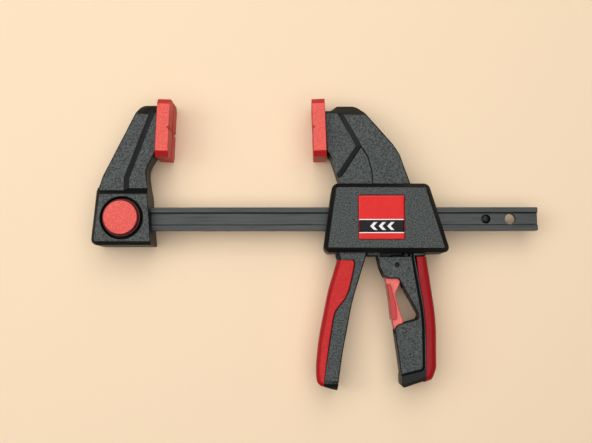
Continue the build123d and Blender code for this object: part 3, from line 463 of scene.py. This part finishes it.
def rim_move(before, after, width, caps, rim_sides):
    """Width at a rim point, with its ways into the cap and down the wall; None where it stays."""
    vert, up = after.vert, after.face.normal
    d0, d1 = along(before), along(after)
    in0, in1 = up.cross(d0), up.cross(d1)
    if rounds(before) and rounds(after):
        inward, spread = in0 + in1, 1 + in0.dot(in1)
    elif rounds(before):
        inward, spread = d1, d1.dot(in0)
    elif rounds(after):
        inward, spread = -d0, -d0.dot(in1)
    else:
        return None
    if spread < LEAST_SPREAD:
        return None
    bend = d0.angle(d1, 0.0)
    if bend > STRAIGHT and d0.cross(d1).dot(up) > 0:
        shorter = min(before.edge.calc_length(), after.edge.calc_length())
        width = min(width, EDGE_SHARE * shorter / 2 / tan(bend / 2))
    inward = inward / spread
    rooms = [room_beside(loop, rim_sides[0]) for loop in (before, after)]
    rooms.append(float(way_across(vert.co, inward.normalized(), *rim_sides)) / inward.length)
    falls = [edge for edge in vert.link_edges if not caps.intersection(edge.link_faces)]
    if len(falls) == 1:
        down = (falls[0].other_vert(vert).co - vert.co).normalized()
        rooms.append(falls[0].calc_length())
    else:
        wall = (after if rounds(after) else before).link_loop_radial_next
        down = wall.face.normal.cross(along(wall))
        rooms.append(wall.face.calc_area() / wall.edge.calc_length())
    return min(width, ROOM_SHARE * min(rooms)), inward, down


# %% [markdown]
# Rings of faces are first set in along all rims with no width, and then every ring is put in
# place: a share s of the way in, its point is the corner plus width times (1 - s) squared
# down the wall plus s squared into the cap, which is a smooth curve from wall to cap. Points
# that stay leave doubles, and those are merged.

# %% Rounded rims
FLAT_Z = 0.999
RINGS = 3


def round_rims(work, width):
    """Set rings of faces in along the rims of all caps and bend them round."""
    work.verts.layers.int.new("rim_number")
    work.verts.layers.int.new("rim_level")
    ring = work.faces.layers.int.new("ring")
    number, level = work.verts.layers.int["rim_number"], work.verts.layers.int["rim_level"]
    caps = {face for face in work.faces if abs(face.normal.z) > FLAT_Z}
    rim = [loop for face in caps for loop in face.loops
           if len(loop.edge.link_faces) == 2 and loop.link_loop_radial_next.face not in caps]
    before = {loop.link_loop_next.vert: loop for loop in rim}
    starts = np.array([loop.vert.co for loop in rim])
    sides = np.array([loop.link_loop_next.vert.co for loop in rim]) - starts
    moves = {}
    for after in rim:
        vert, move = after.vert, None
        if vert in before:
            move = rim_move(before[vert], after, width, caps, (starts, sides))
        vert[number] = len(moves) + 1
        moves[len(moves) + 1] = (vert.co.copy(), move)
    for step in range(RINGS):
        inset = bmesh.ops.inset_region(work, faces=list(caps), thickness=0.0, use_boundary=True)
        for face in inset["faces"]:
            face[ring] = 1
        for vert in {vert for face in caps for vert in face.verts}:
            vert[level] = step + 1
    for vert in work.verts:
        corner, move = moves.get(vert[number], (None, None))
        if move:
            room, inward, down = move
            s = vert[level] / RINGS
            vert.co = corner + room * ((1 - s) ** 2 * down + s ** 2 * inward)
    bmesh.ops.remove_doubles(work, verts=work.verts, dist=SAME)


# %% [markdown]
# All faces are shaded smooth, and clear edges stay crisp. How far an edge may turn and still
# be smooth depends on what it joins. A ring runs smoothly into its wall, and a round wall's
# facets into each other. A cap stays flat: a slope beside it keeps its edge.

# %% Crisp and smooth edges
CAP_FACET, FACET = radians(10), radians(18)


def shade(work):
    """Smooth shading, but crisp where a turn is more than a facet of a round shape makes."""
    ring = work.faces.layers.int["ring"]
    for face in work.faces:
        face.smooth = True
    for edge in work.edges:
        beside_ring = any(face[ring] for face in edge.link_faces)
        beside_cap = any(abs(face.normal.z) > FLAT_Z for face in edge.link_faces)
        if beside_ring:
            limit = FACET if beside_cap else SHARP
        else:
            limit = CAP_FACET if beside_cap else FACET
        edge.smooth = len(edge.link_faces) == 2 and edge.calc_face_angle(0.0) < limit


# %% [markdown]
# A CAD mesh is loose triangles, so a copy has its doubles merged and its flat facets joined
# before its rims are rounded. The copy then stands for the node. Hard mouldings get the
# widest rims and the rail, which is rolled, the narrowest.

# %% Softened copies
SEAM = 0.002 * MM
FLAT = radians(0.5)


def softened(node, width_mm):
    """Copy of a CAD node with round rims, put in the node's place."""
    mesh = frame["nodes"][node].data.copy()
    mesh.name = node + "_moulded"
    work = bmesh.new()
    work.from_mesh(mesh)
    bmesh.ops.remove_doubles(work, verts=work.verts, dist=SEAM)
    bmesh.ops.dissolve_limit(work, angle_limit=FLAT, verts=work.verts, edges=work.edges)
    round_rims(work, width_mm * MM)
    shade(work)
    work.to_mesh(mesh)
    work.free()
    piece = bpy.data.objects.new(node + "_moulded", mesh)
    bpy.context.scene.collection.objects.link(piece)
    smooth = piece.modifiers.new("even shading", "WEIGHTED_NORMAL")
    smooth.keep_sharp = True
    print(node, "has", len(mesh.polygons), "faces")
    stands_for(piece, node)


for node in ["fixed_jaw", "front_body", "rear_body", "front_cover", "rear_cover", "pump_lever"]:
    softened(node, 1.2)
for node in ["fixed_pad", "moving_pad", "release_trigger"]:
    softened(node, 0.6)
for node in ["lever_grip", "rear_grip"]:
    softened(node, 0.8)
softened("rail", 0.3)

# %% [markdown]
# ## Surfaces from grids
# The pieces that CAD only roughs out are worked out here with numpy. A shape is a grid of
# points, its rows and columns two parameters, and each cell of the grid becomes a face. A
# row may close on itself, as round a turned part. Where a whole row falls on one point, as
# at a pole, the doubles are merged, so the surface ends closed.

# %% A mesh from a grid of points
POLE = 0.0001 * MM


def surface(name, points, material, closed_columns=False, crease=35):
    """Faces between neighbours of a (rows, columns, 3) grid in metres, facing out or up."""
    rows, columns = points.shape[:2]
    order = np.arange(rows * columns).reshape(rows, columns)
    if closed_columns:
        order = np.hstack([order, order[:, :1]])
    cells = np.stack([order[:-1, :-1], order[1:, :-1], order[1:, 1:], order[:-1, 1:]], axis=-1)
    mesh = bpy.data.meshes.new(name)
    mesh.from_pydata(points.reshape(-1, 3), [], cells.reshape(-1, 4))
    work = bmesh.new()
    work.from_mesh(mesh)
    bmesh.ops.remove_doubles(work, verts=work.verts, dist=POLE)
    if closed_columns:
        bmesh.ops.recalc_face_normals(work, faces=work.faces)
    work.to_mesh(mesh)
    work.free()
    mesh.shade_smooth()
    mesh.set_sharp_from_angle(angle=radians(crease))
    mesh.materials.append(material)
    piece = bpy.data.objects.new(name, mesh)
    bpy.context.scene.collection.objects.link(piece)
    print(name, len(mesh.polygons), "faces")
    return piece


# %% [markdown]
# A turned part starts as a half profile of radius and height. Its round corners are arcs,
# and the whole profile is then carried round an upright axis.

# %% Arcs and turned shapes
FINE_ARC, SMALL_ARC = 9, 4


def arc(centre, radius, start, end, count):
    """Points (r, z) on a circle from one angle to another, in degrees from the r axis."""
    turn = np.radians(np.linspace(start, end, count))
    return np.stack([centre[0] + radius * np.cos(turn), centre[1] + radius * np.sin(turn)], axis=-1)


def turned(profile, x, y, steps):
    """Carry a profile of (radius, z) round a z axis: x + r cos t, y + r sin t, z."""
    turn = np.arange(steps) * 2 * pi / steps
    r, z = profile[:, :1], profile[:, 1:]
    return at(x + r * np.cos(turn), y + r * np.sin(turn), z)


# %% [markdown]
# ## Lock button
# A round cap with a thin ring at its foot. Its face is a hair domed, which is how a moulded
# disc is kept from sinking in as it cools, and its rim is well rounded for a thumb. It is a
# turned shape: a half profile, carried round. The pocket below takes the spring.

# %% The button, turned
button_low, button_high = box_mm("push_button")
button_x, button_y = ((button_low + button_high) / 2)[:2]
foot, top = button_low[2], button_high[2]
FOOT_R, FACE_R, RING_Z, RIM = 15.7, 14.8, 17.2, 1.3
HOLLOW_R, FOOT_EDGE = 0.35, 0.3
POCKET_R, POCKET_ROOF = 6.8, top - 2.5
DOME, RIM_FROM = 200.0, 86
crown = arc((0, top - DOME), DOME, 90, 90 - np.degrees((FACE_R - RIM) / DOME), FINE_ARC)
button_profile = np.vstack([
    crown[:-1],
    arc((FACE_R - RIM, crown[-1, 1] - RIM), RIM, RIM_FROM, 0, FINE_ARC),
    arc((FACE_R + HOLLOW_R, RING_Z + HOLLOW_R), HOLLOW_R, 180, 270, SMALL_ARC),
    arc((FOOT_R - FOOT_EDGE, RING_Z - FOOT_EDGE), FOOT_EDGE, 90, 0, SMALL_ARC),
    arc((FOOT_R - FOOT_EDGE, foot + FOOT_EDGE), FOOT_EDGE, 0, -90, SMALL_ARC),
    [(POCKET_R, foot), (POCKET_R, POCKET_ROOF), (0, POCKET_ROOF)],
])
button_shape = turned(button_profile, button_x, button_y, steps=96)
stands_for(surface("lock_button_cap", button_shape, button_red, closed_columns=True),
           "push_button")

# %% [markdown]
# ## Stop rivet
# A rivet's head is formed by a cupped punch, so it is a shallow dome with a small skirt
# where it meets the groove. Both heads and the shank are one turned shape.

# %% The rivet, turned
rivet_low, rivet_high = box_mm("stop_rivet")
rivet_x = (rivet_low[0] + rivet_high[0]) / 2
CROWN, SEAT, SKIRT = rivet_high[2], 2.6, 0.3
HEAD_R, SHANK_R = (rivet_high[0] - rivet_low[0]) / 2, 2.48
rise = CROWN - SEAT - SKIRT
dome_r = (HEAD_R ** 2 + rise ** 2) / 2 / rise
dome_edge = 90 - np.degrees(np.arcsin(HEAD_R / dome_r))
dome = arc((0, CROWN - dome_r), dome_r, 90, dome_edge, FINE_ARC)
half = np.vstack([dome, [(HEAD_R, SEAT), (SHANK_R, SEAT)]])
rivet_profile = np.vstack([half, half[::-1] * (1, -1)])
rivet_shape = turned(rivet_profile, rivet_x, 0.0, steps=48)
stands_for(surface("stop_rivet_domed", rivet_shape, dark_steel, closed_columns=True),
           "stop_rivet")

# %% [markdown]
# ## Springs
# A compression spring is wire wound on a mandrel, its end turns laid flat so that it pushes
# square. CAD shows it with a hexagon of wire to stay light; here the wire is round. The
# centre line is a helix whose pitch closes up at both ends, and a circle is carried along
# it, shrunk to a point at both ends to close the wire.

# %% Wire wound in a box
PER_TURN, WIRE_SIDES = 28, 10
END_EASE = 0.55


def wound(node, axis, wire_mm, turns):
    """Tube round a helix in a node's box: angle grows evenly, height less END_EASE of a sine."""
    low, high = box_mm(node)
    centre, length = (low + high) / 2, high[axis] - low[axis] - wire_mm
    across = [i for i in range(3) if i != axis]
    radius = (high[across[0]] - low[across[0]] - wire_mm) / 2
    share = np.linspace(0, 1, (turns + 1) * PER_TURN)
    turn = 2 * pi * (turns + 1) * share
    eased = share - END_EASE * np.sin(2 * pi * share) / (2 * pi)
    line = np.zeros((len(share), 3))
    line[:, axis] = low[axis] + wire_mm / 2 + length * eased
    line[:, across[0]] = centre[across[0]] + radius * np.cos(turn)
    line[:, across[1]] = centre[across[1]] + radius * np.sin(turn)
    ahead = np.gradient(line, axis=0)
    ahead /= np.linalg.norm(ahead, axis=1, keepdims=True)
    outward = line - centre
    outward[:, axis] = 0
    outward /= np.linalg.norm(outward, axis=1, keepdims=True)
    side = np.cross(ahead, outward)
    ring = np.linspace(0, 2 * pi, WIRE_SIDES, endpoint=False)[None, :, None]
    thick = np.full((len(share), 1, 1), wire_mm / 2)
    thick[[0, -1]] = 0.0
    return line[:, None] + thick * (np.cos(ring) * outward[:, None] + np.sin(ring) * side[:, None])


# %% [markdown]
# As its joint moves, a real spring shortens towards its fixed end. Here the point at its fixed end
# is worked out and the piece gets a mesh of its own, but nothing squashes the piece.

# %% Coil springs
def coil(node, axis, wire_mm, turns, fixed):
    """The wound wire in its node's place; the point at its fixed end is worked out but not used."""
    tube = wound(node, axis, wire_mm, turns)
    piece = surface(node + "_wound", at(*np.moveaxis(tube, -1, 0)), wire, closed_columns=True,
                    crease=60)
    stands_for(piece, node)
    low, high = box_mm(node)
    anchor = (low + high) / 2
    anchor[axis] = (high if fixed == "high" else low)[axis]
    tuple(at(*anchor))
    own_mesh(piece)


coil("button_spring", 2, 1.1, 4, "low")
coil("drive_spring", 0, 1.1, 5, "high")
coil("brake_spring", 0, 1.0, 3, "high")

# %% [markdown]
# ## Label plate
# A thin moulded plate lies in a recess of the cover. Its face is flat in the middle and
# rolls down over the last few millimetres, so a light at one side draws a bright strip
# along one edge. Its height is a function of two parameters, across and up: full inside,
# less by how near the closer edge is. Corners are rounded by pulling each corner's square
# in to a quarter disc. Solidify gives the sheet its thickness.

# %% The plate's height and outline
plate_low, plate_high = box_mm("label_plate")
PLATE_MID = (plate_low + plate_high) / 2
PLATE_HALF = (plate_high - plate_low) / 2
ROLL_W, ROLL_DROP, CORNER_R = 2.6, 0.55, 1.0


def plate_height(x, y):
    """Top height less a drop that eases in within a roll's width of the nearer edge."""
    near = [np.clip((half - np.abs(v)) / ROLL_W, 0, 1) for v, half in zip((x, y), PLATE_HALF)]
    fall = [(1 - v) ** 2 for v in near]
    return plate_high[2] - ROLL_DROP * (fall[0] ** 3 + fall[1] ** 3) ** (1 / 3)


def rounded_corners(x, y):
    """Pull each corner's square in to a quarter disc: dx by sqrt(1 - dy dy / 2), dy likewise."""
    edge_x, edge_y = PLATE_HALF[0] - CORNER_R, PLATE_HALF[1] - CORNER_R
    dx = np.clip((np.abs(x) - edge_x) / CORNER_R, 0, 1)
    dy = np.clip((np.abs(y) - edge_y) / CORNER_R, 0, 1)
    inner_x, inner_y = np.minimum(np.abs(x), edge_x), np.minimum(np.abs(y), edge_y)
    return (np.sign(x) * (inner_x + CORNER_R * dx * np.sqrt(1 - dy * dy / 2)),
            np.sign(y) * (inner_y + CORNER_R * dy * np.sqrt(1 - dx * dx / 2)))


print("label plate in mm:", np.round(2 * PLATE_HALF, 2))

# %% [markdown]
# The grid is dense where the plate bends and wide in its flat middle, so that a few hundred
# faces are enough.

# %% The plate as a height over a grid
FLAT_FROM, PLATE_T = ROLL_W + 0.5, 0.5
AT_CORNER, AT_ROLL, AT_MIDDLE = 5, 9, 14


def places(half):
    """Places across the plate: close together at both edges, wide apart in the middle."""
    edge = np.concatenate([np.linspace(0, CORNER_R, AT_CORNER),
                           np.linspace(CORNER_R, FLAT_FROM, AT_ROLL)[1:]])
    middle = np.linspace(edge[-1] - half, half - edge[-1], AT_MIDDLE)[1:-1]
    return np.concatenate([edge - half, middle, half - edge[::-1]])


across, up = np.meshgrid(places(PLATE_HALF[0]), places(PLATE_HALF[1]), indexing="ij")
across, up = rounded_corners(across, up)
plate = surface("label_plate_rolled",
                at(PLATE_MID[0] + across, PLATE_MID[1] + up, plate_height(across, up)), label_red)
wall = plate.modifiers.new("plate thickness", "SOLIDIFY")
wall.thickness = PLATE_T * MM
wall.offset = -1
stands_for(plate, "label_plate")

# %% [markdown]
# ## Print on the label
# The print is plain: a black band between two white lines, with three white arrowheads that
# point the way the jaw closes. Each is a thin film of ink that follows the plate's height,
# and an arrowhead is one grid whose x leans by how far y is from the middle.

# %% Ink films
INK_LIFT, INK_T, INK_MARGIN = 0.03, 0.03, 0.35
BAND_Y, BAND_HALF, LINE_W = -7.4, 5.0, 0.8
ARROWS_X, ARROW_W, ARROW_LEAN, ARROW_HALF = (-9.5, -2.5, 4.5), 3.0, 3.2, 3.3


def printed(name, x, y, ink, coat=1):
    """Film of ink: grids of x and y on the plate, lifted a hair over it for each coat."""
    height = plate_height(x, y) + coat * INK_LIFT
    film = surface(name, at(PLATE_MID[0] + x, PLATE_MID[1] + y, height), ink)
    skin = film.modifiers.new("ink thickness", "SOLIDIFY")
    skin.thickness = INK_T * MM
    skin.offset = -1
    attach(film, "moving_jaw")


reach = PLATE_HALF[0] - INK_MARGIN
share, t = np.meshgrid(np.linspace(-1, 1, 61), np.linspace(-1, 1, 7), indexing="ij")
printed("label_band", share * reach, BAND_Y + t * BAND_HALF, ink_black)
for name, side in (("label_line_upper", 1), ("label_line_lower", -1)):
    printed(name, share * reach, BAND_Y + side * (BAND_HALF + LINE_W / 2) + t * LINE_W / 2,
            ink_white)
share, t = np.meshgrid(np.linspace(0, 1, 5), np.linspace(-1, 1, 13), indexing="ij")
for number, x in enumerate(ARROWS_X):
    printed(f"label_arrow_{number}", x + ARROW_W * share + ARROW_LEAN * np.abs(t),
            BAND_Y + ARROW_HALF * t, ink_white, coat=2)

# %% [markdown]
# ## Floor
# A plain pale sheet, six metres across. It is warm, so that the black parts get a warm bounce
# on their walls.

# %% Stage
FLOOR = 3.0
floor_mesh = bpy.data.meshes.new("floor")
floor_mesh.from_pydata([(-FLOOR, -FLOOR, 0), (FLOOR, -FLOOR, 0), (FLOOR, FLOOR, 0),
                        (-FLOOR, FLOOR, 0)], [], [(0, 1, 2, 3)])
floor = bpy.data.objects.new("floor", floor_mesh)
bpy.context.scene.collection.objects.link(floor)
floor_mesh.materials.append(finish_called("warm_pale_paper", "#F8DEBD", 0.95,
                                          Specular_IOR_Level=0.2)[0])
print("floor at z = 0")

# %% [markdown]
# ## Camera
# It looks almost straight down from 0.7 m, tipped by a few degrees, so that a little of the
# lower and right-hand walls shows. The 50 mm lens is a normal one for a picture of a tool.

# %% Camera
camera_data = bpy.data.cameras.new("camera")
camera_data.lens = 50
camera_data.sensor_width = 36
camera = bpy.data.objects.new("camera", camera_data)
camera.location = at(111.93, -68.0, 693.9)
camera.rotation_euler = (radians(5.45), radians(0.49), 0)
bpy.context.scene.collection.objects.link(camera)
bpy.context.scene.camera = camera
print("camera at", np.round(camera.location, 3))

# %% [markdown]
# ## Light
# A wide soft light hangs where faces that look up mirror it to the camera. Its sheen adds to the
# grey and coral painted on those faces, while bevels and walls look past it and stay dark, on top
# of their painted shade. It hangs a little to the far left, so the light falls off towards the
# handles. A small one from the left draws the lit edges, and a weak one from beyond the jaws keeps
# the far walls from going black. The view transform is Standard, which keeps full reds red where
# the filmic ones would wash them out.

# %% Lamps and surroundings
def soft_light(name, place, aim, size, radiance):
    """Square area light from a place towards another; power is pi times area times radiance."""
    lamp = bpy.data.lights.new(name, "AREA")
    lamp.size = size
    lamp.energy = pi * size ** 2 * radiance
    holder = bpy.data.objects.new(name, lamp)
    holder.location = place
    holder.rotation_euler = (Vector(aim) - Vector(place)).to_track_quat("-Z", "Y").to_euler()
    bpy.context.scene.collection.objects.link(holder)
    print(name, round(lamp.energy, 1), "W")


soft_light("overhead", (-0.15, 0.25, 1.25), (-0.15, 0.25, 0), 2.0, 1.77)
soft_light("left_side", (-1.1, 0.1, 0.95), (0, 0, 0), 0.6, 2.4)
soft_light("far_side", (0.1, 1.2, 1.0), (0, 0, 0), 0.8, 1.2)
world = bpy.data.worlds.new("studio")
world.use_nodes = True
around = world.node_tree.nodes["Background"]
around.inputs["Color"].default_value = linear("#FFFFFF")
around.inputs["Strength"].default_value = 0.1
bpy.context.scene.world = world
bpy.context.scene.view_settings.view_transform = "Standard"
